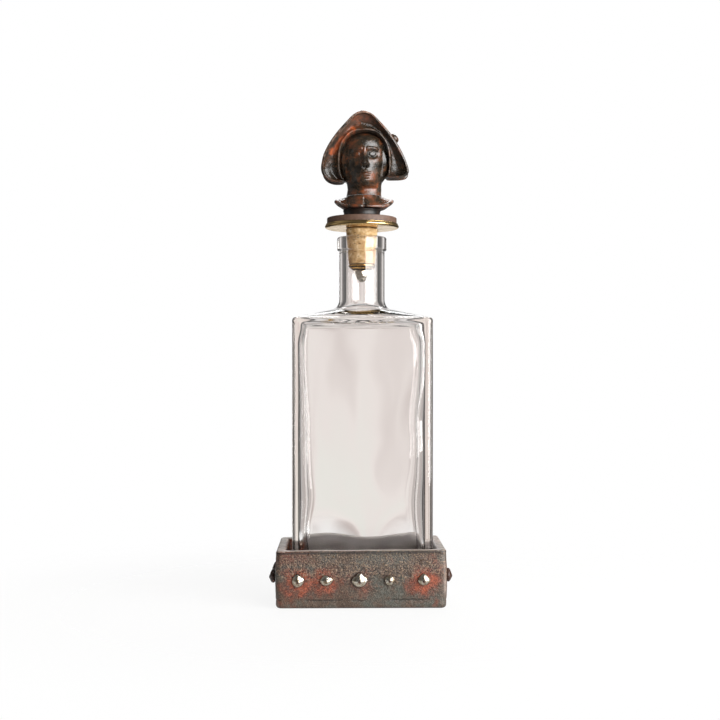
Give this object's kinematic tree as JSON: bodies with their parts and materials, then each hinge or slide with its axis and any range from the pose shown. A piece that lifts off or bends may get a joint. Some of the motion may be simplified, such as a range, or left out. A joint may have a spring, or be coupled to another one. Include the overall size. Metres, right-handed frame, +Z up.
{
  "type": "decanter",
  "caption": "Clear glass decanter with a rectangular body, standing in a studded ceramic tray and closed by a cork stopper topped with a bust in a cocked hat.",
  "frame": {"origin": "centre of the tray's underside, on the table", "axes": "+Z up, parallel to the bottle's axis, -Y out of the long side that the face looks over, +X to the viewer's right"},
  "size_m": [0.1164, 0.084, 0.3139],
  "materials": {
    "tray_glaze": "brown-grey reduction glaze with a sandy speckle and red-orange blushes, glossy",
    "stud_silver": "mirror-silver lustre on hand-formed points",
    "clear_glass": "clear, thick-walled, fire-polished, slightly wavy inside",
    "natural_cork": "natural cork, smooth ground",
    "washer_brass": "turned brass, slightly dulled",
    "nut_steel": "bright nickel-plated",
    "rod_steel": "plain threaded rod, zinc-plated",
    "flange_brass": "polished pressed brass, lacquered",
    "disc_brown": "matt pinkish-brown moulded disc",
    "plinth_glaze": "nearly black brown glaze",
    "bust_glaze": "dark brown glaze with copper-red blushes, high gloss"
  },
  "bodies": {
    "tray_body": {"tray": "tray_glaze", "front_stud_1": "stud_silver", "front_stud_2": "stud_silver", "front_stud_3": "stud_silver", "front_stud_4": "stud_silver", "front_stud_5": "stud_silver", "back_stud_1": "stud_silver", "back_stud_2": "stud_silver", "back_stud_3": "stud_silver", "back_stud_4": "stud_silver", "back_stud_5": "stud_silver", "left_stud_1": "stud_silver", "left_stud_2": "stud_silver", "right_stud_1": "stud_silver", "right_stud_2": "stud_silver"},
    "bottle_body": {"bottle": "clear_glass"},
    "stopper_body": {"stopper_cork": "natural_cork", "cork_washer": "washer_brass", "acorn_nut": "nut_steel", "stopper_rod": "rod_steel", "stopper_flange": "flange_brass", "stopper_disc": "disc_brown", "bust_plinth": "plinth_glaze", "bust_collar": "bust_glaze", "bust_head": "bust_glaze", "bust_hat": "bust_glaze", "hat_cockade": "bust_glaze"}
  },
  "joints": [
    {"name": "bottle_lift", "type": "slide", "parent": "tray_body", "child": "bottle_body", "axis": [0, 0, 1], "range_m": [0, 0.04]},
    {"name": "stopper_lift", "type": "slide", "parent": "bottle_body", "child": "stopper_body", "axis": [0, 0, 1], "range_m": [0, 0.04]}
  ]
}
